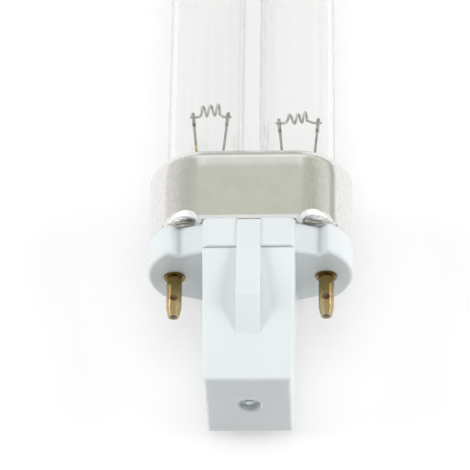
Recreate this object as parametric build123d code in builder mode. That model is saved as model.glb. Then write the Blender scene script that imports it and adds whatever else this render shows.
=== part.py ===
from build123d import *
import os
from math import cos, radians, sin, tan

os.makedirs("parts", exist_ok=True)

# The lamp lies on its back along Y: post towards -Y, glass towards +Y, wide face up.
# All heights along the lamp are measured from the seating face, in millimetres.

# Twin tube of clear glass
tube_diameter = 11.8
tube_wall = 1.0
tube_gap = 2.4
tube_reach = 143.6
tip_radius = 4.6
bridge_diameter = 6.6
bridge_wall = 1.0
bridge_drop = 9.0
bridge_fillet = 0.7

# Stems and presses inside the feet of the tube
press_width = 6.9
press_thickness = 2.6
press_round = 1.2
press_crown = 1.0
press_top = 21.4
press_length = 5.6
stem_wall = 0.8
stem_plug = 1.2
stem_clearance = 0.25
flare_height = 3.2
flare_thickness = 1.3

# Electrodes: the two mounts were bent by hand and differ a little
left_mount_shift = 0.6
left_press_spacing = 3.95
left_tip_spacing = 5.4
left_filament_height = 29.2
right_mount_shift = 0.2
right_press_spacing = 4.95
right_tip_spacing = 6.1
right_filament_height = 27.9
support_diameter = 0.4
support_bend = 1.5
clamp_length = 2.2
clamp_width = 0.54
clamp_depth = 0.8
clamp_top = 0.6
clamp_round = 0.15
filament_diameter = 0.4
coil_depth = 1.5
filament_tail = 0.55
seal_gap = 0.01
# Half turns of each coil: place across from the middle of the mount, height over the clamps
left_coil = ((-1.6, 0.25), (-1.1, 1.9), (-0.55, 0.3), (0.1, 2.05), (0.7, 0.4), (1.25, 2.2), (1.55, 0.35))
right_coil = ((-1.8, 0.35), (-1.25, 1.45), (-0.5, 0.1), (0.05, 1.55), (0.6, 0.25), (1.15, 1.9), (1.5, 0.35))

# Aluminium shell and the cement inside it
shell_wall = 0.35
shell_edge = 4.95
shell_height = 13.15
shoulder_radius = 2.3
shell_lip = 0.2
shell_lip_height = 0.5
cement_side = 2.25
cement_front = 2.75
cement_gap = 0.05
mouth_gap = 0.5
crimp_radius = 2.45
crimp_drop = 1.4
crimp_flare = 25.0
crimp_depth = 2.25
crimp_tilt = 9.0
crimp_offset = 3.1

# White moulded base with its post
post_width = 13.9
post_depth = 16.9
post_length = 22.4
post_draft = 1.3
post_wall = 1.4
post_end_wall = 1.8
post_edge = 0.6
collar_step = 0.5
collar_corner = 1.1
collar_edge = 0.3
nose_width = 3.6
nose_height = 1.9
nose_place = 9.1
nose_run = 5.6
nose_proud = 0.2
nose_edge = 0.15
relief_height = 0.35
relief_depth = 0.8
base_floor = 2.2
base_rim = 0.55
channel_offset = 3.7
channel_depth = 3.1
channel_side_depth = 1.6
channel_slope = 43.0
channel_round = 0.5
valley_round = 0.3
spigot_height = 3.8
spigot_gap = 0.1
foot_gap = 0.15
gate_diameter = 3.7
gate_floor_diameter = 3.0
gate_depth = 1.0
gate_lip = 0.35
gate_nub_diameter = 1.1
gate_nub_height = 0.45

# Contact pins
pin_pitch = 23.0
pin_diameter = 2.35
pin_length = 7.0
pin_bore = 1.1
pin_taper = 1.5
pin_tip_diameter = 1.7
pin_flange_diameter = 3.15
pin_flange_thickness = 0.4
pin_seat_depth = 0.15
pin_seat_gap = 0.05
pin_shank_diameter = 1.9
pin_head_diameter = 3.0
pin_head_thickness = 0.5
pin_head_room = 0.4
pin_hole_gap = 0.03
dimple_diameter = 1.15
dimple_floor_diameter = 0.3
dimple_depth = 0.5
dimple_place = 4.2
solder_length = 2.0
solder_dome = 0.2

# Wiring and starter in the post
lead_diameter = 0.5
lead_bend = 0.7
lead_drop = 2.6
lead_jog = 1.8
branch_rise = 1.0
starter_diameter = 7.2
starter_length = 14.0
starter_tip_round = 2.9
starter_neck_round = 1.4
starter_press_height = 2.2
starter_press_width = 4.4
starter_press_thickness = 2.2
starter_lead_spacing = 2.4
capacitor_width = 7.0
capacitor_thickness = 3.0
capacitor_length = 8.0
capacitor_round = 0.8
capacitor_edge = 0.4
capacitor_lead_spacing = 5.0
packing_gap = 0.2
sleeve_spacing = 6.4
sleeve_length = 3.2
sleeve_wall = 0.25
sleeve_top = 2.4
sleeve_gap = 0.04

# Sizes that follow from the ones above
tube_radius = tube_diameter / 2
tube_pitch = tube_diameter + tube_gap
shell_width = tube_pitch + tube_diameter + 2 * (cement_side + shell_wall)
shell_depth = tube_diameter + 2 * (cement_front + shell_wall)
shell_top = shell_edge + shell_height
spigot_top = shell_edge + spigot_height
tube_foot = spigot_top + foot_gap
collar_depth = post_depth + 2 * collar_step
cup_width = pin_pitch + pin_head_diameter + 2 * pin_head_room
cup_depth = tube_diameter - 2 * tube_wall
cavity_width = post_width - 2 * post_wall
cavity_depth = post_depth - 2 * post_wall
draft_slope = tan(radians(post_draft))
nose_half_depth = post_depth / 2 - nose_place * draft_slope + nose_height
press_middle = press_top - press_length / 2
lead_reach = max(left_press_spacing / 2 + left_mount_shift, right_press_spacing / 2 + right_mount_shift)
stem_bore_radius = lead_reach + lead_diameter / 2 + stem_clearance
stem_plug_foot = press_top - press_length - stem_plug
post_cavity_end = -(post_length - post_end_wall)
starter_foot = post_cavity_end + packing_gap
sleeve_middle = sleeve_top - sleeve_length / 2
crimp_place = post_width / 2 + crimp_offset
crimp_reach = 2 * crimp_depth

# The middle of the lamp's length is over the origin, and the noses touch the ground plane.
seat_y = (post_length - tube_reach) / 2
axis_z = nose_half_depth


def across(height):
    """Plane across the lamp at a height over the seating face, facing the post, Z up in it."""
    return Plane((0, seat_y + height, axis_z), x_dir=(1, 0, 0), z_dir=(0, -1, 0))


def at(x, height, depth=0.0):
    """Point at x, a height over the seating face and a depth in front of the lamp's axis."""
    return Vector(x, seat_y + height, axis_z + depth)


def across_tubes(height):
    """Plane across the lamp turned a quarter, so that round walls drawn in it start underneath."""
    return Plane(at(0, height), x_dir=(0, 0, -1), z_dir=(0, -1, 0))


sideways = Plane(at(0, 0), x_dir=(0, 1, 0), z_dir=(1, 0, 0))


def write_step(piece, name):
    piece.part.label = name
    export_step(piece.part, f"parts/{name}.step")


def make_crimps(margin):
    """Flared punches of the four crimps, larger all round by a margin."""
    planes = []
    for side in (-1, 1):
        for face in (-1, 1):
            normal = Vector(side * sin(radians(crimp_tilt)), 0, face * cos(radians(crimp_tilt)))
            floor = at(side * crimp_place, shell_edge - crimp_drop, face * (shell_depth / 2 - crimp_depth))
            planes.append(Plane(floor - normal * margin, x_dir=(0, 1, 0), z_dir=normal))
    with BuildPart() as punches:
        with BuildSketch(*planes):
            Circle(crimp_radius + margin)
        extrude(amount=crimp_reach, taper=-crimp_flare)
    return punches


def make_wire(points, diameter, bend):
    """Round wire along straight runs with rounded bends."""
    with BuildPart() as wire:
        with BuildLine() as route:
            FilletPolyline(*points, radius=bend)
        with BuildSketch(Plane(route.line @ 0, z_dir=route.line % 0)):
            Circle(diameter / 2)
        sweep(path=route.line)
    return wire


# Both electrode mounts: middle, spacing in the press, spacing at the tips, height of the filament
mounts = {
    -1: (-tube_pitch / 2 + left_mount_shift, left_press_spacing, left_tip_spacing, left_filament_height),
    1: (tube_pitch / 2 + right_mount_shift, right_press_spacing, right_tip_spacing, right_filament_height),
}
coils = {-1: left_coil, 1: right_coil}
side_names = {-1: "left", 1: "right"}

# Space inside the twin tube
with BuildPart() as tube_hollow:
    with BuildSketch(across_tubes(tube_reach - tube_wall)):
        with GridLocations(0, tube_pitch, 1, 2):
            Circle(tube_radius - tube_wall)
    extrude(amount=tube_reach - tube_wall - tube_foot)
    fillet(tube_hollow.edges().group_by(Axis.Y)[-1], tip_radius - tube_wall)
    with BuildSketch(sideways):
        with Locations((tube_reach - bridge_drop, 0)):
            Circle(bridge_diameter / 2 - bridge_wall)
    extrude(amount=tube_pitch / 2, both=True)

# Flat presses that seal the wires, rounded where the glass was soft
with BuildPart() as presses:
    with BuildSketch(across(press_top)):
        with GridLocations(tube_pitch, 0, 2, 1):
            RectangleRounded(press_width, press_thickness, press_round)
    extrude(amount=press_length)
    fillet(presses.edges().group_by(Axis.Y)[-1], press_crown)

# Glass: two domed tubes joined by a bridge, closed at the feet by flared stems with flat presses
with BuildPart() as glass_tube:
    with BuildSketch(across_tubes(tube_reach)):
        with GridLocations(0, tube_pitch, 1, 2):
            Circle(tube_radius)
    extrude(amount=tube_reach - tube_foot)
    fillet(glass_tube.edges().group_by(Axis.Y)[-1], tip_radius)
    with BuildSketch(sideways):
        with Locations((tube_reach - bridge_drop, 0)):
            Circle(bridge_diameter / 2)
    extrude(amount=tube_pitch / 2, both=True)
    fillet(glass_tube.edges().filter_by(lambda edge: abs(edge.center().X) < tube_pitch / 4), bridge_fillet)
    add(tube_hollow.part, mode=Mode.SUBTRACT)
    flare_radius = tube_radius - tube_wall / 2
    stem_radius = stem_bore_radius + stem_wall
    for side in mounts:
        stem_foot = at(side * tube_pitch / 2, 0)
        with BuildSketch(Plane(stem_foot, x_dir=(1, 0, 0), z_dir=(0, 0, 1))):
            with BuildLine():
                Polyline(
                    (flare_radius, tube_foot),
                    (stem_bore_radius, tube_foot + flare_height),
                    (stem_bore_radius, stem_plug_foot),
                    (0, stem_plug_foot),
                    (0, stem_plug_foot + stem_plug),
                    (stem_radius, stem_plug_foot + stem_plug),
                    (stem_radius, tube_foot + flare_height + flare_thickness),
                    (flare_radius, tube_foot + flare_thickness),
                    close=True,
                )
            make_face()
        revolve(axis=Axis(stem_foot, (0, 1, 0)))
    add(presses.part)
    with BuildSketch(across(press_top)):
        for middle_x, press_spacing, tip_spacing, filament_height in mounts.values():
            with Locations((middle_x, 0)):
                with GridLocations(press_spacing, 0, 2, 1):
                    Circle(max(support_diameter, lead_diameter) / 2 + seal_gap)
    extrude(amount=press_length + stem_plug, mode=Mode.SUBTRACT)
write_step(glass_tube, "glass_tube")


def make_filament(side):
    """Filament held in both clamps, coiled by hand between them."""
    centre_x, press_spacing, tip_spacing, height = mounts[side]
    half_spacing = tip_spacing / 2
    bends = [at(centre_x + bend_x, height + bend_rise) for bend_x, bend_rise in coils[side]]
    coil = [bends[0]]
    for turn, (start, end) in enumerate(zip(bends, bends[1:])):
        bulge = coil_depth / 2 if turn % 2 == 0 else -coil_depth / 2
        coil += [(start + end) / 2 + (0, 0, bulge), end]
    with BuildPart() as filament:
        with BuildLine() as route:
            first_leg = Line(
                at(centre_x - half_spacing - filament_tail, height),
                at(centre_x - half_spacing + clamp_width, height),
            )
            last_leg = Line(
                at(centre_x + half_spacing - clamp_width, height),
                at(centre_x + half_spacing + filament_tail, height),
            )
            Spline(
                first_leg @ 1,
                *coil,
                last_leg @ 0,
                tangents=(first_leg % 1, last_leg % 0),
                tangent_scalars=(1, 1),
            )
        with BuildSketch(Plane(first_leg @ 0, z_dir=first_leg % 0)):
            Circle(filament_diameter / 2)
        sweep(path=route.line)
    return filament


def make_support(side, lean):
    """Stiff wire that stands in the press, leans out and ends in a clamp round the filament's leg."""
    centre_x, press_spacing, tip_spacing, height = mounts[side]
    foot_x = centre_x + lean * press_spacing / 2
    tip = at(centre_x + lean * tip_spacing / 2, height)
    knee = at(foot_x, press_top)
    rise = (tip - knee).normalized()
    with BuildPart() as support:
        with BuildLine() as route:
            FilletPolyline(at(foot_x, press_middle), knee, tip, radius=support_bend)
        with BuildSketch(Plane(route.line @ 0, z_dir=route.line % 0)):
            Circle(support_diameter / 2)
        sweep(path=route.line)
        clamp_foot = tip - rise * (clamp_length - clamp_top)
        with BuildSketch(Plane(clamp_foot, x_dir=(0, 0, 1), z_dir=rise)):
            RectangleRounded(clamp_depth, clamp_width, clamp_round)
        extrude(amount=clamp_length)
        with BuildSketch(Plane(tip, x_dir=(0, 1, 0), z_dir=(1, 0, 0))):
            Circle(filament_diameter / 2 + seal_gap)
        extrude(amount=clamp_width, both=True, mode=Mode.SUBTRACT)
    return support


def make_lead(side, lean):
    """Lead from the press down into the pin's bore, or on the inner side into the splice sleeve."""
    centre_x, press_spacing, tip_spacing, filament_height = mounts[side]
    top_x = centre_x + lean * press_spacing / 2
    is_outer = lean == side
    end_x = side * (pin_pitch if is_outer else sleeve_spacing) / 2
    end_height = solder_length - pin_length if is_outer else sleeve_middle
    jog_height = tube_foot - lead_drop
    points = (
        at(top_x, press_middle),
        at(top_x, jog_height),
        at(end_x, jog_height - lead_jog),
        at(end_x, end_height),
    )
    return make_wire(points, lead_diameter, lead_bend)


for side, side_name in side_names.items():
    write_step(make_filament(side), f"filament_{side_name}")
    for lean, place in ((side, "outer"), (-side, "inner")):
        write_step(make_support(side, lean), f"support_wire_{side_name}_{place}")
        write_step(make_lead(side, lean), f"lead_wire_{side_name}_{place}")

# Hollow of the drawn shell, with the crimps standing into it
with BuildPart() as shell_hollow:
    with BuildSketch(across(shell_top - shell_wall)):
        SlotOverall(shell_width - 2 * shell_wall, shell_depth - 2 * shell_wall)
    extrude(amount=shell_height - shell_wall)
    fillet(shell_hollow.edges().group_by(Axis.Y)[-1], shoulder_radius - shell_wall)
    add(make_crimps(shell_wall).part, mode=Mode.SUBTRACT)

with BuildPart() as cap_shell:
    with BuildSketch(across(shell_top)):
        SlotOverall(shell_width, shell_depth)
    extrude(amount=shell_height)
    fillet(cap_shell.edges().group_by(Axis.Y)[-1], shoulder_radius)
    foot_face = cap_shell.faces().sort_by(Axis.Y).first
    chamfer(foot_face.edges(), shell_lip, shell_lip_height, reference=foot_face)
    add(make_crimps(0).part, mode=Mode.SUBTRACT)
    add(shell_hollow.part, mode=Mode.SUBTRACT)
    with BuildSketch(across(shell_top)):
        SlotCenterToCenter(tube_pitch, tube_diameter + 2 * mouth_gap)
    extrude(amount=shoulder_radius, mode=Mode.SUBTRACT)
write_step(cap_shell, "cap_shell")

# Cement between the feet of the tubes and the shell
with BuildPart() as basing_cement:
    cement_top = shell_top - shoulder_radius
    with BuildSketch(across(cement_top)):
        cement_inset = 2 * (shell_wall + cement_gap)
        SlotOverall(shell_width - cement_inset, shell_depth - cement_inset)
        with GridLocations(tube_pitch, 0, 2, 1):
            Circle(tube_radius + cement_gap, mode=Mode.SUBTRACT)
    extrude(amount=cement_top - spigot_top - cement_gap)
write_step(basing_cement, "basing_cement")

# Spigot of the base inside the shell, hollowed where the crimps press in
with BuildPart() as spigot:
    with BuildSketch(across(spigot_top)):
        spigot_inset = 2 * (shell_wall + spigot_gap)
        SlotOverall(shell_width - spigot_inset, shell_depth - spigot_inset)
    extrude(amount=spigot_height)
    add(make_crimps(shell_wall + spigot_gap).part, mode=Mode.SUBTRACT)

# Collar round the top of the post, rounded at its corners and along its lower edges
with BuildPart() as collar:
    with BuildSketch(across(shell_edge)):
        RectangleRounded(post_width, collar_depth, collar_corner)
    extrude(amount=shell_edge)
    with BuildSketch(sideways) as collar_side:
        with Locations((shell_edge / 2, 0)):
            Rectangle(shell_edge, collar_depth)
        fillet(collar_side.vertices().group_by(Axis.X)[0], collar_edge)
    extrude(amount=post_width / 2, both=True, mode=Mode.INTERSECT)

# Retaining noses on both faces: proud of the collar, rising to a ridge, then ramped down to the post
with BuildPart() as noses:
    ramp_foot = nose_place + nose_run
    for face in (-1, 1):
        with BuildSketch(sideways):
            with BuildLine():
                Polyline(
                    (shell_edge - relief_height, 0),
                    (shell_edge - relief_height, face * (collar_depth / 2 + nose_proud)),
                    (0, face * (collar_depth / 2 + nose_proud)),
                    (-nose_place, face * nose_half_depth),
                    (-ramp_foot, face * (post_depth / 2 - ramp_foot * draft_slope)),
                    (-ramp_foot, 0),
                    close=True,
                )
            make_face()
        extrude(amount=nose_width / 2, both=True)
    long_edges = noses.edges().filter_by(Axis.X, reverse=True).filter_by(Axis.Z, reverse=True)
    fillet(long_edges, nose_edge)

# Base: seating block with crimp channels, collar, spigot, and a hollow drafted post with two noses
with BuildPart() as base:
    channel_x = post_width / 2 + channel_offset
    channel_floor = shell_depth / 2 - channel_depth
    channel_side = shell_depth / 2 - channel_side_depth
    channel_crest = channel_floor + (shell_width / 2 - channel_x) * tan(radians(channel_slope))
    with BuildSketch(across(shell_edge)):
        SlotOverall(shell_width, shell_depth)
        for x_sign in (-1, 1):
            for z_sign in (-1, 1):
                with BuildLine():
                    Polyline(
                        (0, z_sign * channel_side),
                        (x_sign * post_width / 2, z_sign * channel_side),
                        (x_sign * channel_x, z_sign * channel_floor),
                        (x_sign * shell_width / 2, z_sign * channel_crest),
                        (x_sign * shell_width / 2, z_sign * shell_depth),
                        (0, z_sign * shell_depth),
                        close=True,
                    )
                make_face(mode=Mode.SUBTRACT)
    extrude(amount=shell_edge)
    upright_edges = base.edges().filter_by(Axis.Y)
    valleys = upright_edges.filter_by(lambda edge: abs(abs(edge.center().X) - channel_x) < valley_round)
    outer_corners = upright_edges.filter_by(lambda edge: abs(edge.center().X) > channel_x + channel_round)
    fillet(valleys, valley_round)
    fillet(outer_corners, channel_round)
    fillet(base.edges().group_by(Axis.Y)[0], base_rim)
    add(collar.part)
    add(spigot.part)
    with BuildSketch(across(0)):
        RectangleRounded(post_width, post_depth, post_edge)
    extrude(amount=post_length, taper=post_draft)
    fillet(base.edges().group_by(Axis.Y)[0], post_edge)
    add(noses.part)
    for face in (-1, 1):
        with BuildSketch(sideways):
            with Locations((shell_edge - relief_height / 2, face * collar_depth / 2)):
                Rectangle(relief_height, 2 * relief_depth)
        extrude(amount=nose_width / 2, both=True, mode=Mode.SUBTRACT)
    gate_radius = gate_diameter / 2
    post_end = at(0, -post_length)
    with BuildSketch(Plane(post_end, x_dir=(1, 0, 0), z_dir=(0, 0, 1))) as gate_section:
        with BuildLine():
            Polyline(
                (0, gate_depth),
                (gate_floor_diameter / 2, gate_depth),
                (gate_radius, 0),
                (2 * gate_radius, 0),
                (2 * gate_radius, -gate_depth),
                (0, -gate_depth),
                close=True,
            )
        make_face()
        fillet(gate_section.vertices().sort_by_distance((gate_radius, 0)).first, gate_lip)
    revolve(axis=Axis(post_end, (0, 1, 0)), mode=Mode.SUBTRACT)
    with BuildSketch(across(gate_depth - post_length)):
        Circle(gate_nub_diameter / 2)
    extrude(amount=gate_nub_height)
    with BuildSketch(across(spigot_top)):
        SlotOverall(cup_width, cup_depth)
    extrude(amount=spigot_top - base_floor, mode=Mode.SUBTRACT)
    with BuildSketch(across(spigot_top)):
        Rectangle(cavity_width, cavity_depth)
    extrude(amount=spigot_top, mode=Mode.SUBTRACT)
    with BuildSketch(across(0)):
        Rectangle(cavity_width, cavity_depth)
    extrude(amount=-post_cavity_end, taper=post_draft, mode=Mode.SUBTRACT)
    with BuildSketch(across(base_floor)):
        with GridLocations(pin_pitch, 0, 2, 1):
            Circle(pin_shank_diameter / 2 + pin_hole_gap)
    extrude(amount=base_floor, mode=Mode.SUBTRACT)
    with BuildSketch(across(pin_seat_depth)):
        with GridLocations(pin_pitch, 0, 2, 1):
            Circle(pin_flange_diameter / 2 + pin_seat_gap)
    extrude(amount=pin_seat_depth, mode=Mode.SUBTRACT)
write_step(base, "base")


def make_pin(side):
    """Hollow turned pin: tapered tip, flange let into the seating face, head riveted over the floor."""
    pin_foot = at(side * pin_pitch / 2, 0)
    bore_radius = pin_bore / 2
    pin_radius = pin_diameter / 2
    shank_radius = pin_shank_diameter / 2
    flange_radius = pin_flange_diameter / 2
    flange_foot = pin_seat_depth - pin_flange_thickness
    head_radius = pin_head_diameter / 2
    head_top = base_floor + pin_head_thickness
    with BuildPart() as pin:
        with BuildSketch(Plane(pin_foot, x_dir=(1, 0, 0), z_dir=(0, 0, 1))):
            with BuildLine():
                Polyline(
                    (bore_radius, -pin_length),
                    (pin_tip_diameter / 2, -pin_length),
                    (pin_radius, -pin_length + pin_taper),
                    (pin_radius, flange_foot),
                    (flange_radius, flange_foot),
                    (flange_radius, pin_seat_depth),
                    (shank_radius, pin_seat_depth),
                    (shank_radius, base_floor),
                    (head_radius, base_floor),
                    (head_radius, head_top),
                    (bore_radius, head_top),
                    close=True,
                )
            make_face()
        revolve(axis=Axis(pin_foot, (0, 1, 0)))
        dimple_top = at(side * pin_pitch / 2, -dimple_place, pin_radius)
        with BuildSketch(Plane(dimple_top, x_dir=(1, 0, 0), z_dir=(0, 0, 1))):
            Circle(dimple_diameter / 2)
        with BuildSketch(Plane(dimple_top - (0, 0, dimple_depth), x_dir=(1, 0, 0), z_dir=(0, 0, 1))):
            Circle(dimple_floor_diameter / 2)
        loft(mode=Mode.SUBTRACT)
    return pin


def make_solder(side):
    """Plug of solder with a low dome in the tip of a pin."""
    plug_foot = at(side * pin_pitch / 2, -pin_length)
    plug_radius = pin_bore / 2 - seal_gap
    with BuildPart() as plug:
        with BuildSketch(Plane(plug_foot, x_dir=(1, 0, 0), z_dir=(0, 0, 1))):
            with BuildLine():
                SagittaArc((0, -solder_dome), (plug_radius, 0), -solder_dome / 2)
                Polyline(
                    (plug_radius, 0),
                    (plug_radius, solder_length),
                    (0, solder_length),
                    (0, -solder_dome),
                )
            make_face()
        revolve(axis=Axis(plug_foot, (0, 1, 0)))
    return plug


# Starter bulb at the back of the post, capacitor at the front
cavity_end_half_depth = cavity_depth / 2 + post_cavity_end * draft_slope
starter_depth = -(cavity_end_half_depth - packing_gap - starter_diameter / 2)
starter_top = starter_foot + starter_length
capacitor_depth = cavity_end_half_depth - packing_gap - capacitor_thickness / 2

with BuildPart() as starter_bulb:
    bulb_foot = at(0, starter_foot, starter_depth)
    with BuildSketch(Plane(bulb_foot, x_dir=(1, 0, 0), z_dir=(0, 0, 1))) as bulb_section:
        with Locations((starter_diameter / 4, starter_length / 2)):
            Rectangle(starter_diameter / 2, starter_length)
        rim_points = bulb_section.vertices().group_by(Axis.X)[-1].sort_by(Axis.Y)
        fillet(rim_points.first, starter_tip_round)
        fillet(rim_points.last, starter_neck_round)
    revolve(axis=Axis(bulb_foot, (0, 1, 0)))
    with BuildSketch(across(starter_top + starter_press_height)):
        with Locations((0, starter_depth)):
            SlotOverall(starter_press_width, starter_press_thickness)
    extrude(amount=starter_press_height)
write_step(starter_bulb, "starter_bulb")

with BuildPart() as capacitor:
    with BuildSketch(across(starter_top)):
        with Locations((0, capacitor_depth)):
            RectangleRounded(capacitor_width, capacitor_thickness, capacitor_round)
    extrude(amount=capacitor_length)
    chamfer(capacitor.edges().group_by(Axis.Y)[-1], capacitor_edge)
    chamfer(capacitor.edges().group_by(Axis.Y)[0], capacitor_edge)
write_step(capacitor, "capacitor")


def make_sleeve(side):
    """Crimp sleeve round the ends of three wires."""
    with BuildPart() as sleeve:
        with BuildSketch(across(sleeve_top)):
            with Locations((side * sleeve_spacing / 2, 0)):
                Circle(lead_diameter + sleeve_gap + sleeve_wall)
                Circle(lead_diameter + sleeve_gap, mode=Mode.SUBTRACT)
        extrude(amount=sleeve_length)
    return sleeve


def make_branch(side, foot_x, foot_height, foot_depth, lane):
    """Lead of the starter or the capacitor, up into its lane of the splice sleeve."""
    lane_depth = lane * (lead_diameter + sleeve_gap) / 2
    sleeve_x = side * sleeve_spacing / 2
    points = (
        at(side * foot_x, foot_height, foot_depth),
        at(side * foot_x, foot_height + branch_rise, foot_depth),
        at(sleeve_x, sleeve_top - sleeve_length - branch_rise, lane_depth),
        at(sleeve_x, sleeve_middle, lane_depth),
    )
    return make_wire(points, lead_diameter, lead_bend)


starter_press_top = starter_top + starter_press_height
for side, side_name in side_names.items():
    write_step(make_pin(side), f"contact_pin_{side_name}")
    write_step(make_solder(side), f"pin_solder_{side_name}")
    write_step(make_sleeve(side), f"splice_sleeve_{side_name}")
    starter_lead = make_branch(side, starter_lead_spacing / 2, starter_press_top, starter_depth, -1)
    write_step(starter_lead, f"starter_lead_{side_name}")
    capacitor_lead = make_branch(side, capacitor_lead_spacing / 2, starter_top, capacitor_depth, 1)
    write_step(capacitor_lead, f"capacitor_lead_{side_name}")
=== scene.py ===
from math import cos, radians, sin

import bpy
from mathutils import Matrix, Vector


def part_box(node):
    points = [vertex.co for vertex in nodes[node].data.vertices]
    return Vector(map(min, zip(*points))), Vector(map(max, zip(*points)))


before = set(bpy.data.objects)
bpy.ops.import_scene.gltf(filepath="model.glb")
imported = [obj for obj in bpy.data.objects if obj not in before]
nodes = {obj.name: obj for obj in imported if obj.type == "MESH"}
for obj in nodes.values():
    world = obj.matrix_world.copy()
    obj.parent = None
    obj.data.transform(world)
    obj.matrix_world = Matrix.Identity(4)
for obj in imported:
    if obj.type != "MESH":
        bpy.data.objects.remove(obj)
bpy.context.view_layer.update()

mm = 0.001
print("frame loaded:", len(nodes), "nodes")

# places on the lamp: some of its lengths in millimetres, and what follows from them and the frame
marks = {
    "pinLength": 7.0,
    "pinAside": 11.5,
    "pressTop": 21.4,
    "crimpAside": 10.05,
    "crimpDepth": 7.2,
    "crimpFloor": 6.75,
    "dimpleDown": 4.2,
    "dimpleDepth": 0.95,
}
pinLow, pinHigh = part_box("contact_pin_left")
shellLow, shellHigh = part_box("cap_shell")
seatY = pinLow.y + marks["pinLength"] * mm
axisZ = sum(corner.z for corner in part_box("glass_tube")) / 2
pressTopY = seatY + marks["pressTop"] * mm

noiseSpan = (0.3, 0.7)  # most values of a noise lie in here
mixSockets = {"factor": 0, "first": 6, "second": 7, "result": 2}  # of a mix node set to colours


# node tree helpers, all patterns in millimetres on Object coordinates
def grey(level):
    return (level, level, level)


def startFinish(name):
    finish = bpy.data.materials.new(name)
    finish.use_nodes = True
    tree = finish.node_tree
    tree.nodes.clear()
    out = tree.nodes.new("ShaderNodeOutputMaterial")
    skin = tree.nodes.new("ShaderNodeBsdfPrincipled")
    tree.links.new(skin.outputs["BSDF"], out.inputs["Surface"])
    return finish, tree, skin


def millimetres(tree, stretch):
    coords = tree.nodes.new("ShaderNodeTexCoord")
    mapping = tree.nodes.new("ShaderNodeMapping")
    mapping.inputs["Scale"].default_value = [share / mm for share in stretch]
    tree.links.new(coords.outputs["Object"], mapping.inputs["Vector"])
    return mapping.outputs["Vector"]


def noise(tree, scale, detail, stretch=(1, 1, 1)):
    grain = tree.nodes.new("ShaderNodeTexNoise")
    grain.inputs["Scale"].default_value = scale
    grain.inputs["Detail"].default_value = detail
    tree.links.new(millimetres(tree, stretch), grain.inputs["Vector"])
    return grain.outputs["Fac"]


def ramp(tree, factor, stops):
    table = tree.nodes.new("ShaderNodeValToRGB")
    edges = table.color_ramp.elements
    while len(edges) < len(stops):
        edges.new(0.5)
    for edge, (at, colour) in zip(edges, stops):
        edge.position = at
        edge.color = (*colour, 1)
    tree.links.new(factor, table.inputs["Fac"])
    return table.outputs["Color"]


def spread(tree, factor, low, high, fromLow=0.0, fromHigh=1.0):
    span = tree.nodes.new("ShaderNodeMapRange")
    span.inputs["From Min"].default_value = fromLow
    span.inputs["From Max"].default_value = fromHigh
    span.inputs["To Min"].default_value = low
    span.inputs["To Max"].default_value = high
    tree.links.new(factor, span.inputs["Value"])
    return span.outputs["Result"]


def bump(tree, height, depth, under=None):
    relief = tree.nodes.new("ShaderNodeBump")
    relief.inputs["Strength"].default_value = 1.0
    relief.inputs["Distance"].default_value = depth * mm
    tree.links.new(height, relief.inputs["Height"])
    if under is not None:
        tree.links.new(under, relief.inputs["Normal"])
    return relief.outputs["Normal"]


def place(tree, axis):
    coords = tree.nodes.new("ShaderNodeTexCoord")
    parts = tree.nodes.new("ShaderNodeSeparateXYZ")
    tree.links.new(coords.outputs["Object"], parts.inputs["Vector"])
    return parts.outputs[axis]


def blendColours(tree, factor, first, second):
    mixer = tree.nodes.new("ShaderNodeMix")
    mixer.data_type = "RGBA"
    tree.links.new(factor, mixer.inputs[mixSockets["factor"]])
    tree.links.new(first, mixer.inputs[mixSockets["first"]])
    last = mixer.inputs[mixSockets["second"]]
    if isinstance(second, tuple):
        last.default_value = (*second, 1)
    else:
        tree.links.new(second, last)
    return mixer.outputs[mixSockets["result"]]


def mirroredDistance(tree, centre, spot, squash=(1, 1, 1)):
    # distance to a spot and to its mirror images about a centre, all in metres
    coords = tree.nodes.new("ShaderNodeTexCoord")
    reached = coords.outputs["Object"]
    steps = (("SUBTRACT", centre), ("ABSOLUTE", centre), ("MULTIPLY", squash), ("DISTANCE", spot))
    for operation, setting in steps:
        step = tree.nodes.new("ShaderNodeVectorMath")
        step.operation = operation
        step.inputs[1].default_value = setting
        tree.links.new(reached, step.inputs[0])
        reached = step.outputs["Value" if operation == "DISTANCE" else "Vector"]
    return reached


def wear(finish, *names):
    for name in names:
        piece = nodes[name]
        piece.data.materials.clear()
        piece.data.materials.append(finish)


# clear glass, drawn tube with faint lengthwise streaks, a little grey where it is seen edge on, partly for
# the longer path through the wall and partly painted shade
glassLook = {
    "tints": [(0.3, (0.975, 0.983, 0.978)), (0.7, (0.992, 0.995, 0.993))],
    "edge": (0.81, 0.82, 0.81),
    "edgeFrom": (0.32, 0.95),
    "ior": 1.47,
    "streaks": {"scale": 1.2, "detail": 1.0, "stretch": (1.0, 0.004, 1.0)},
    "streakDepth": 0.002,
    "shade": [(0.0, grey(0.98)), (0.5, grey(0.92)), (0.95, grey(0.35))],
}


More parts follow.
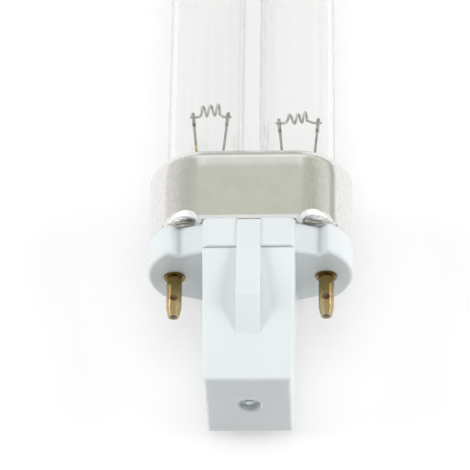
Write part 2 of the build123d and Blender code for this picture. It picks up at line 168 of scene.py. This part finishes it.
def makeGlass():
    finish, tree, skin = startFinish("clear drawn glass")
    streaks = noise(tree, **glassLook["streaks"])
    tint = ramp(tree, streaks, glassLook["tints"])
    # painted shade: the colour greys where the wall is seen edge on, partly for the longer path through the
    # glass
    slant = tree.nodes.new("ShaderNodeLayerWeight")
    atEdge = spread(tree, slant.outputs["Facing"], 0.0, 1.0, *glassLook["edgeFrom"])
    tree.links.new(blendColours(tree, atEdge, tint, glassLook["edge"]), skin.inputs["Base Color"])
    skin.inputs["Transmission Weight"].default_value = 1.0
    skin.inputs["Roughness"].default_value = 0.0
    skin.inputs["IOR"].default_value = glassLook["ior"]
    tree.links.new(bump(tree, streaks, glassLook["streakDepth"]), skin.inputs["Normal"])
    # light reaches what stands inside the tube, less where it grazes the wall
    path = tree.nodes.new("ShaderNodeLightPath")
    clear = tree.nodes.new("ShaderNodeBsdfTransparent")
    tree.links.new(ramp(tree, slant.outputs["Facing"], glassLook["shade"]), clear.inputs["Color"])
    either = tree.nodes.new("ShaderNodeMixShader")
    out = tree.nodes["Material Output"]
    tree.links.new(path.outputs["Is Shadow Ray"], either.inputs["Fac"])
    tree.links.new(skin.outputs["BSDF"], either.inputs[1])
    tree.links.new(clear.outputs["BSDF"], either.inputs[2])
    tree.links.new(either.outputs["Shader"], out.inputs["Surface"])
    return finish


# drawn aluminium, bright: fine draw marks along the lamp, mottled bends, creased crimps, and painted dark
# reflection and shade streaked across the floor of each crimp dent
aluminiumLook = {
    "sheet": [(0.3, (0.82, 0.82, 0.80)), (0.65, (0.86, 0.86, 0.84))],
    "clouds": {"scale": 0.35, "detail": 3.0},
    "mottle": [(0.3, (0.79, 0.79, 0.77)), (0.7, (0.89, 0.89, 0.87))],
    "mottling": {"scale": 2.6, "detail": 4.0, "stretch": (1.0, 0.4, 1.0)},
    "mottleFrom": (6.0, 10.0),
    "rough": (0.10, 0.2),
    "drawing": {"scale": 6.0, "detail": 4.0, "stretch": (1, 0.06, 1)},
    "drawDepth": 0.0015,
    "waves": {"scale": 0.22, "detail": 1.0},
    "waveDepth": 0.02,
    "leanFrom": 4.2,
    "leanTo": 1.0,
    "leanDepth": 0.115,
    # painted dark reflection and shade for the floor of the crimp dents
    "dentShadeTones": [(0.38, (0.15, 0.15, 0.16)), (0.52, (0.34, 0.34, 0.35)), (0.66, grey(0.85))],
    "dentShadeStreaks": {"scale": 1.5, "detail": 2.0, "stretch": (0.3, 2.5, 0.8)},
    "dentShadeAside": 9.5,
    "dentShadeReach": (1.3, 2.1),
    "creasing": {"scale": 0.6, "detail": 3.0, "stretch": (0.35, 2.0, 0.6)},
    "creaseDepth": 0.35,
    "creaseReach": 2.9,
    "creaseCore": 0.7,
    "creaseSquash": (1.0, 1.5, 1.0),
}


def nearCrimps(tree):
    spot = (marks["crimpAside"] * mm, 0, marks["crimpDepth"] * mm)
    gap = mirroredDistance(tree, (0, shellLow.y, axisZ), spot, aluminiumLook["creaseSquash"])
    reach = aluminiumLook["creaseReach"] * mm
    return spread(tree, gap, 1.0, 0.0, aluminiumLook["creaseCore"] * reach, reach)


def makeAluminium():
    finish, tree, skin = startFinish("drawn aluminium")
    drawMarks = noise(tree, **aluminiumLook["drawing"])
    plain = ramp(tree, noise(tree, **aluminiumLook["clouds"]), aluminiumLook["sheet"])
    mottled = ramp(tree, noise(tree, **aluminiumLook["mottling"]), aluminiumLook["mottle"])
    aside = tree.nodes.new("ShaderNodeMath")  # the bends of the sheet are mottled, its flat front is clean
    aside.operation = "ABSOLUTE"
    tree.links.new(place(tree, "X"), aside.inputs[0])
    bends = [reach * mm for reach in aluminiumLook["mottleFrom"]]
    sheet = blendColours(tree, spread(tree, aside.outputs[0], 0.0, 1.0, *bends), plain, mottled)
    # painted dark reflection and shade, masked to the floor of each crimp dent
    dentShadeSpot = (aluminiumLook["dentShadeAside"] * mm, 0, marks["crimpFloor"] * mm)
    gap = mirroredDistance(tree, (0, shellLow.y, axisZ), dentShadeSpot, aluminiumLook["creaseSquash"])
    inDentShade = spread(tree, gap, 1.0, 0.0, *[reach * mm for reach in aluminiumLook["dentShadeReach"]])
    paintedDentShade = ramp(tree, noise(tree, **aluminiumLook["dentShadeStreaks"]), aluminiumLook["dentShadeTones"])
    tree.links.new(blendColours(tree, inDentShade, sheet, paintedDentShade), skin.inputs["Base Color"])
    skin.inputs["Metallic"].default_value = 1.0
    tree.links.new(spread(tree, drawMarks, *aluminiumLook["rough"], *noiseSpan), skin.inputs["Roughness"])
    creases = tree.nodes.new("ShaderNodeMath")
    creases.operation = "MULTIPLY"
    tree.links.new(noise(tree, **aluminiumLook["creasing"]), creases.inputs[0])
    tree.links.new(nearCrimps(tree), creases.inputs[1])
    folded = bump(tree, creases.outputs[0], aluminiumLook["creaseDepth"])
    wavy = bump(tree, noise(tree, **aluminiumLook["waves"]), aluminiumLook["waveDepth"], folded)
    underShoulder = [shellHigh.y - aluminiumLook[end] * mm for end in ("leanFrom", "leanTo")]
    lean = spread(tree, place(tree, "Y"), 1.0, 0.0, *underShoulder)
    lean.node.interpolation_type = "SMOOTHSTEP"
    leaning = bump(tree, lean, aluminiumLook["leanDepth"], wavy)
    tree.links.new(bump(tree, drawMarks, aluminiumLook["drawDepth"], leaning), skin.inputs["Normal"])
    return finish


# white moulded plastic, faintly blue, satin, with soft edges
plasticLook = {
    "tones": [(0.35, (0.655, 0.695, 0.705)), (0.65, (0.675, 0.715, 0.725))],
    "flow": {"scale": 0.15, "detail": 2.0},
    "grain": {"scale": 9.0, "detail": 3.0},
    "rough": (0.30, 0.40),
    "skinDepth": 0.004,
    "edgeRound": 0.22,
    "edgeSamples": 6,
    "milky": 0.25,
    "milkyReach": 1.2,
    "milkyColour": (1.0, 0.95, 0.8),
}


def makePlastic():
    finish, tree, skin = startFinish("white moulded plastic")
    flow = noise(tree, **plasticLook["flow"])
    grain = noise(tree, **plasticLook["grain"])
    tree.links.new(ramp(tree, flow, plasticLook["tones"]), skin.inputs["Base Color"])
    tree.links.new(spread(tree, grain, *plasticLook["rough"], *noiseSpan), skin.inputs["Roughness"])
    edges = tree.nodes.new("ShaderNodeBevel")
    edges.samples = plasticLook["edgeSamples"]
    edges.inputs["Radius"].default_value = plasticLook["edgeRound"] * mm
    grained = bump(tree, grain, plasticLook["skinDepth"], edges.outputs["Normal"])
    tree.links.new(grained, skin.inputs["Normal"])
    skin.inputs["Subsurface Weight"].default_value = plasticLook["milky"]
    skin.inputs["Subsurface Radius"].default_value = plasticLook["milkyColour"]
    skin.inputs["Subsurface Scale"].default_value = plasticLook["milkyReach"] * mm
    return finish


# brass, darker brown towards the flange and brighter towards the tip, in blotches, and dark brown and less
# metallic in the dimples
brassLook = {
    "tonesAlong": [(0.45, (0.25, 0.175, 0.055)), (0.8, (0.36, 0.26, 0.105)), (1.0, (0.56, 0.43, 0.23))],
    "blotches": {"scale": 1.6, "detail": 5.0},
    "blotchShare": 0.35,
    "dimple": (0.16, 0.085, 0.05),
    "dimpleMetal": 0.2,
    "dimpleReach": (0.56, 0.68),
    "rough": (0.10, 0.2),
    "turning": {"scale": 2.0, "detail": 2.0, "stretch": (0.05, 6, 0.05)},
    "turnDepth": 0.002,
}


def makeBrass():
    finish, tree, skin = startFinish("turned brass")
    along = spread(tree, place(tree, "Y"), 0.0, 1.0, pinHigh.y, pinLow.y)
    blotch = noise(tree, **brassLook["blotches"])
    toneAlong = tree.nodes.new("ShaderNodeMath")
    toneAlong.operation = "MULTIPLY_ADD"
    tree.links.new(blotch, toneAlong.inputs[0])
    toneAlong.inputs[1].default_value = brassLook["blotchShare"]
    tree.links.new(along, toneAlong.inputs[2])
    # darker brown towards the flange, brighter towards the tip, in blotches
    colour = ramp(tree, toneAlong.outputs[0], brassLook["tonesAlong"])
    dimpleMiddle = (0, seatY - marks["dimpleDown"] * mm, axisZ)
    gap = mirroredDistance(tree, dimpleMiddle, (marks["pinAside"] * mm, 0, marks["dimpleDepth"] * mm))
    inDimple = spread(tree, gap, 1.0, 0.0, *[reach * mm for reach in brassLook["dimpleReach"]])
    tree.links.new(blendColours(tree, inDimple, colour, brassLook["dimple"]), skin.inputs["Base Color"])
    tree.links.new(spread(tree, inDimple, 1.0, brassLook["dimpleMetal"]), skin.inputs["Metallic"])
    tree.links.new(spread(tree, blotch, *brassLook["rough"], *noiseSpan), skin.inputs["Roughness"])
    turning = noise(tree, **brassLook["turning"])
    tree.links.new(bump(tree, turning, brassLook["turnDepth"]), skin.inputs["Normal"])
    return finish


# small metals and hidden pieces share one recipe: two colours clouded together and a fine relief
smallDetail = 4.0
smallLooks = {
    "dull solder": {
        "dark": (0.09, 0.09, 0.09), "light": (0.22, 0.21, 0.20),
        "metal": 0.7, "rough": (0.4, 0.6), "grain": 3.0, "depth": 0.02,
    },
    "tungsten coil": {
        "dark": (0.36, 0.35, 0.34), "light": (0.72, 0.71, 0.68),
        "metal": 0.6, "rough": (0.4, 0.6), "grain": 6.0, "depth": 0.03,
    },
    "tinned sleeve": {
        "dark": (0.5, 0.5, 0.49), "light": (0.7, 0.7, 0.69),
        "metal": 1.0, "rough": (0.25, 0.4), "grain": 3.0, "depth": 0.01,
    },
    "tinned wire": {
        "dark": (0.45, 0.45, 0.44), "light": (0.68, 0.67, 0.66),
        "metal": 1.0, "rough": (0.25, 0.4), "grain": 4.0, "depth": 0.006,
    },
    "copper lead": {
        "dark": (0.42, 0.2, 0.1), "light": (0.72, 0.42, 0.26),
        "metal": 1.0, "rough": (0.25, 0.4), "grain": 3.0, "depth": 0.006,
    },
    "basing cement": {
        "dark": (0.48, 0.43, 0.35), "light": (0.66, 0.61, 0.53),
        "metal": 0.0, "rough": (0.8, 0.95), "grain": 2.5, "depth": 0.08,
    },
    "starter glass": {
        "dark": (0.42, 0.44, 0.43), "light": (0.6, 0.62, 0.61),
        "metal": 0.0, "rough": (0.05, 0.15), "grain": 0.6, "depth": 0.01,
    },
    "capacitor resin": {
        "dark": (0.36, 0.07, 0.02), "light": (0.52, 0.13, 0.05),
        "metal": 0.0, "rough": (0.15, 0.3), "grain": 1.0, "depth": 0.02,
    },
}


def makeSmall(name):
    look = smallLooks[name]
    finish, tree, skin = startFinish(name)
    clouds = noise(tree, look["grain"], smallDetail)
    tones = list(zip(noiseSpan, (look["dark"], look["light"])))
    tree.links.new(ramp(tree, clouds, tones), skin.inputs["Base Color"])
    skin.inputs["Metallic"].default_value = look["metal"]
    tree.links.new(spread(tree, clouds, *look["rough"], *noiseSpan), skin.inputs["Roughness"])
    tree.links.new(bump(tree, clouds, look["depth"]), skin.inputs["Normal"])
    return finish


# support wires: grey nickel, browned by heat in blotches; one keeps a bead of gold near its seal
supportLook = {
    "tones": [(0.35, (0.20, 0.185, 0.165)), (0.6, (0.42, 0.40, 0.37))],
    "blotches": {"scale": 1.8, "detail": 4.0},
    "gold": (0.62, 0.46, 0.14),
    "beadFrom": 1.65,
    "beadTo": 2.35,
    "metal": 0.85,
    "rough": (0.3, 0.45),
    "depth": 0.01,
}


def makeSupport(name, goldStrength):
    finish, tree, skin = startFinish(name)
    blotch = noise(tree, **supportLook["blotches"])
    body = ramp(tree, blotch, supportLook["tones"])
    beadMiddle = pressTopY + (supportLook["beadFrom"] + supportLook["beadTo"]) / 2 * mm
    beadHalf = (supportLook["beadTo"] - supportLook["beadFrom"]) / 2 * mm
    onBead = tree.nodes.new("ShaderNodeMath")
    onBead.operation = "COMPARE"
    onBead.inputs[1].default_value = beadMiddle
    onBead.inputs[2].default_value = beadHalf
    tree.links.new(place(tree, "Y"), onBead.inputs[0])
    golden = spread(tree, onBead.outputs[0], 0.0, goldStrength)
    tree.links.new(blendColours(tree, golden, body, supportLook["gold"]), skin.inputs["Base Color"])
    skin.inputs["Metallic"].default_value = supportLook["metal"]
    tree.links.new(spread(tree, blotch, *supportLook["rough"], *noiseSpan), skin.inputs["Roughness"])
    tree.links.new(bump(tree, blotch, supportLook["depth"]), skin.inputs["Normal"])
    return finish


wear(makeGlass(), "glass_tube")
wear(makeAluminium(), "cap_shell")
wear(makePlastic(), "base")
wear(makeBrass(), "contact_pin_left", "contact_pin_right")
wear(makeSupport("nickel support wire", 0.0), *[name for name in nodes if name.startswith("support_wire")])
wear(makeSupport("nickel support wire with a gold bead", 1.0), "support_wire_left_outer")
smallWear = {
    "dull solder": ["pin_solder_left", "pin_solder_right"],
    "tungsten coil": ["filament_left", "filament_right"],
    "tinned sleeve": ["splice_sleeve_left", "splice_sleeve_right"],
    "tinned wire": [name for name in nodes if name.startswith(("starter_lead", "capacitor_lead"))],
    "copper lead": [name for name in nodes if name.startswith("lead_wire")],
    "basing cement": ["basing_cement"],
    "starter glass": ["starter_bulb"],
    "capacitor resin": ["capacitor"],
}
for name, wearers in smallWear.items():
    wear(makeSmall(name), *wearers)
print("finishes on", sum(1 for piece in nodes.values() if piece.data.materials), "nodes")

# pale table, near white to the eye with the lamp's soft shadow left on it, cast by the lamps and also
# painted into its glow near the lamp, plain white in the metal
floorLook = {
    "size": 3.0,
    "colour": grey(0.98),
    "rough": 0.9,
    "whiteShare": 0.6,
    "shadowReach": 13.0,
    "shadowSamples": 8,
    "shadow": [(0.3, (0.80, 0.80, 0.79)), (0.6, (0.89, 0.89, 0.885)), (0.85, grey(0.97)), (1.0, grey(1.0))],
}


def seenDirectly(tree):
    path = tree.nodes.new("ShaderNodeLightPath")
    first = tree.nodes.new("ShaderNodeMath")
    first.operation = "MAXIMUM"
    tree.links.new(path.outputs["Is Camera Ray"], first.inputs[0])
    tree.links.new(path.outputs["Is Glossy Ray"], first.inputs[1])
    second = tree.nodes.new("ShaderNodeMath")
    second.operation = "MAXIMUM"
    tree.links.new(first.outputs[0], second.inputs[0])
    tree.links.new(path.outputs["Is Transmission Ray"], second.inputs[1])
    return second.outputs[0]


def makeFloor():
    bpy.ops.mesh.primitive_plane_add(size=floorLook["size"], location=(0, 0, 0))
    floor = bpy.context.object
    floor.name = "table"
    finish, tree, skin = startFinish("white table")
    skin.inputs["Roughness"].default_value = floorLook["rough"]
    skin.inputs["Specular IOR Level"].default_value = 0.0
    skin.inputs["Base Color"].default_value = (*floorLook["colour"], 1)
    glow = tree.nodes.new("ShaderNodeEmission")
    nearness = tree.nodes.new("ShaderNodeAmbientOcclusion")  # painted shadow: the glow of the table darkens close to the lamp
    nearness.samples = floorLook["shadowSamples"]
    nearness.inputs["Distance"].default_value = floorLook["shadowReach"] * mm
    tree.links.new(ramp(tree, nearness.outputs["AO"], floorLook["shadow"]), glow.inputs["Color"])
    share = tree.nodes.new("ShaderNodeMath")
    share.operation = "MULTIPLY"
    share.inputs[1].default_value = floorLook["whiteShare"]
    tree.links.new(seenDirectly(tree), share.inputs[0])
    path = tree.nodes.new("ShaderNodeLightPath")
    mirrored = tree.nodes.new("ShaderNodeMath")  # seen in metal, not through glass
    mirrored.operation = "SUBTRACT"
    tree.links.new(path.outputs["Is Glossy Ray"], mirrored.inputs[0])
    tree.links.new(path.outputs["Is Transmission Ray"], mirrored.inputs[1])
    white = tree.nodes.new("ShaderNodeMath")
    white.operation = "MAXIMUM"
    tree.links.new(share.outputs[0], white.inputs[0])
    tree.links.new(mirrored.outputs[0], white.inputs[1])
    both = tree.nodes.new("ShaderNodeMixShader")
    tree.links.new(white.outputs[0], both.inputs["Fac"])
    tree.links.new(skin.outputs["BSDF"], both.inputs[1])
    tree.links.new(glow.outputs["Emission"], both.inputs[2])
    tree.links.new(both.outputs["Shader"], tree.nodes["Material Output"].inputs["Surface"])
    floor.data.materials.append(finish)


makeFloor()

# light tent that only reflections show: grey roof, paler walls, a bright back with a darker strip in its
# middle, and a front that is bright low down and dark above; stops run from the horizon up, by the sine of
# the elevation, and the From spans say by the sine or cosine of the heading where a wall takes over
roofTone = (0.62, 0.62, 0.55)
tentLook = {
    "radius": 1.45,
    "segments": 96,
    "rings": 48,
    "left": [
        (0.0, (0.88, 0.85, 0.86)), (0.10, (0.76, 0.73, 0.74)), (0.30, (0.72, 0.70, 0.69)),
        (0.54, (0.58, 0.58, 0.55)), (0.68, (0.54, 0.54, 0.50)), (0.84, (0.60, 0.60, 0.53)), (0.90, roofTone),
    ],
    "right": [
        (0.02, (0.85, 0.85, 0.84)), (0.06, (0.46, 0.46, 0.41)), (0.15, (0.48, 0.48, 0.43)),
        (0.23, (0.76, 0.76, 0.72)), (0.50, (0.68, 0.68, 0.62)), (0.66, (0.52, 0.52, 0.46)),
        (0.80, (0.55, 0.55, 0.49)), (0.90, roofTone),
    ],
    "back": [
        (0.03, grey(0.95)), (0.05, (0.82, 0.82, 0.80)), (0.38, (0.80, 0.80, 0.78)),
        (0.52, grey(0.92)), (0.76, grey(0.95)), (0.82, roofTone),
    ],
    "middle": [
        (0.03, grey(0.95)), (0.05, (0.52, 0.52, 0.46)), (0.38, (0.54, 0.54, 0.48)),
        (0.52, grey(0.92)), (0.76, grey(0.95)), (0.82, roofTone),
    ],
    "front": [
        (0.05, grey(1.3)), (0.45, grey(1.3)), (0.54, grey(0.25)), (0.86, grey(0.16)),
        (0.93, grey(0.9)), (0.985, grey(0.9)), (1.0, roofTone),
    ],
    "rightFrom": (-0.1, 0.1),
    "backFrom": (0.87, 0.96),
    "middleFrom": (0.975, 0.992),
    "frontFrom": (-0.45, -0.65),
}


def showOnlyReflected(piece):
    piece.visible_camera = False
    piece.visible_diffuse = False
    piece.visible_shadow = False
    piece.visible_transmission = False


def makeTent():
    bpy.ops.mesh.primitive_uv_sphere_add(segments=tentLook["segments"], ring_count=tentLook["rings"],
                                         radius=tentLook["radius"], location=(0, 0, 0))
    tent = bpy.context.object
    tent.name = "lightTent"
    finish, tree, skin = startFinish("light tent")
    tree.nodes.remove(skin)
    coords = tree.nodes.new("ShaderNodeTexCoord")
    way = tree.nodes.new("ShaderNodeVectorMath")
    way.operation = "NORMALIZE"
    tree.links.new(coords.outputs["Object"], way.inputs[0])
    parts = tree.nodes.new("ShaderNodeSeparateXYZ")
    tree.links.new(way.outputs["Vector"], parts.inputs["Vector"])
    flat = tree.nodes.new("ShaderNodeVectorMath")  # the same direction, level with the table
    flat.operation = "MULTIPLY"
    flat.inputs[1].default_value = (1, 1, 0)
    tree.links.new(way.outputs["Vector"], flat.inputs[0])
    level = tree.nodes.new("ShaderNodeVectorMath")
    level.operation = "NORMALIZE"
    tree.links.new(flat.outputs["Vector"], level.inputs[0])
    heading = tree.nodes.new("ShaderNodeSeparateXYZ")
    tree.links.new(level.outputs["Vector"], heading.inputs["Vector"])
    wallNames = ("left", "right", "back", "middle", "front")
    walls = {name: ramp(tree, parts.outputs["Z"], tentLook[name]) for name in wallNames}
    toRight = spread(tree, heading.outputs["X"], 0.0, 1.0, *tentLook["rightFrom"])
    toBack = spread(tree, heading.outputs["Y"], 0.0, 1.0, *tentLook["backFrom"])
    toMiddle = spread(tree, heading.outputs["Y"], 0.0, 1.0, *tentLook["middleFrom"])
    toFront = spread(tree, heading.outputs["Y"], 0.0, 1.0, *tentLook["frontFrom"])
    sides = blendColours(tree, toRight, walls["left"], walls["right"])
    withBack = blendColours(tree, toBack, sides, walls["back"])
    withMiddle = blendColours(tree, toMiddle, withBack, walls["middle"])
    glow = tree.nodes.new("ShaderNodeEmission")
    tree.links.new(blendColours(tree, toFront, withMiddle, walls["front"]), glow.inputs["Color"])
    tree.links.new(glow.outputs["Emission"], tree.nodes["Material Output"].inputs["Surface"])
    tent.data.materials.append(finish)
    showOnlyReflected(tent)


makeTent()

# a bright card beside each pin, for the long highlight on its outer side
cardLook = {"at": (0.0662, -0.04, 0.037), "width": 0.034, "height": 0.026, "strength": 1.9}


def makeCard(name, side):
    middle = Vector(cardLook["at"])
    middle.x *= side
    pinMiddle = Vector((side * marks["pinAside"] * mm, middle.y, axisZ))
    bpy.ops.mesh.primitive_plane_add(size=1.0, location=middle)
    card = bpy.context.object
    card.name = name
    card.rotation_euler = (pinMiddle - middle).to_track_quat("Z", "Y").to_euler()
    card.scale = (cardLook["width"], cardLook["height"], 1)
    finish, tree, skin = startFinish(name)
    tree.nodes.remove(skin)
    glow = tree.nodes.new("ShaderNodeEmission")
    glow.inputs["Strength"].default_value = cardLook["strength"]
    tree.links.new(glow.outputs["Emission"], tree.nodes["Material Output"].inputs["Surface"])
    card.data.materials.append(finish)
    showOnlyReflected(card)


makeCard("cardLeft", -1)
makeCard("cardRight", 1)
print("table, tent and cards set")

# soft boxes: one on each side, a large one overhead and a small one in front on the right
lampTarget = Vector((0, -0.05, 0.01))
lamps = {
    "softBoxLeft": {"at": (-0.95, -0.05, 0.53), "size": 0.5, "watts": 8.4},
    "softBoxRight": {"at": (0.95, -0.05, 0.53), "size": 0.5, "watts": 7.9},
    "softBoxTop": {"at": (0, 0.15, 1.1), "size": 1.2, "watts": 7.5},
    "softBoxFront": {"at": (0.95, -0.5, 0.45), "size": 0.4, "watts": 1.1},
}
for name, lamp in lamps.items():
    aim = (lampTarget - Vector(lamp["at"])).to_track_quat("-Z", "Y")
    bpy.ops.object.light_add(type="AREA", location=lamp["at"], rotation=aim.to_euler())
    box = bpy.context.object
    box.name = name
    box.data.size = lamp["size"]
    box.data.energy = lamp["watts"]
    box.visible_glossy = False
    box.visible_transmission = False
    box.visible_camera = False

# white all round where it is seen, and only a little light from there
worldLook = {"ambient": 0.12, "seen": 1.0}
world = bpy.data.worlds.new("studio")
bpy.context.scene.world = world
world.use_nodes = True
tree = world.node_tree
around = tree.nodes["Background"]
around.inputs["Color"].default_value = (1, 1, 1, 1)
strength = spread(tree, seenDirectly(tree), worldLook["ambient"], worldLook["seen"])
tree.links.new(strength, around.inputs["Strength"])
print("lamps and world set")

# camera at the photo's angle: high over the post end, long lens; angles in degrees, lengths in millimetres
view = {
    "elevation": 57.61,
    "yaw": -3.91,
    "roll": 3.82,
    "aside": 2.32,
    "rise": -6.34,
    "distance": 455.21,
    "focalPixels": 3003.48,
    "framePixels": 470,
    "sensor": 36.0,
}


def setCamera():
    tip = radians(view["elevation"])
    tipped = Matrix(((1, 0, 0), (0, sin(tip), cos(tip)), (0, -cos(tip), sin(tip))))
    rolled = Matrix.Rotation(radians(view["roll"]), 3, "Z")
    yawed = Matrix.Rotation(radians(view["yaw"]), 3, "Z")
    facing = (rolled @ tipped @ yawed).transposed()
    away = Vector((-view["aside"], -view["rise"], view["distance"])) * mm
    stand = Vector((0, seatY, axisZ)) + facing @ away
    bpy.ops.object.camera_add()
    camera = bpy.context.object
    camera.matrix_world = Matrix.Translation(stand) @ facing.to_4x4()
    camera.data.sensor_width = view["sensor"]
    camera.data.lens = view["focalPixels"] * view["sensor"] / view["framePixels"]
    bpy.context.scene.camera = camera


setCamera()
bpy.context.scene.view_settings.view_transform = "Standard"
print("camera set")
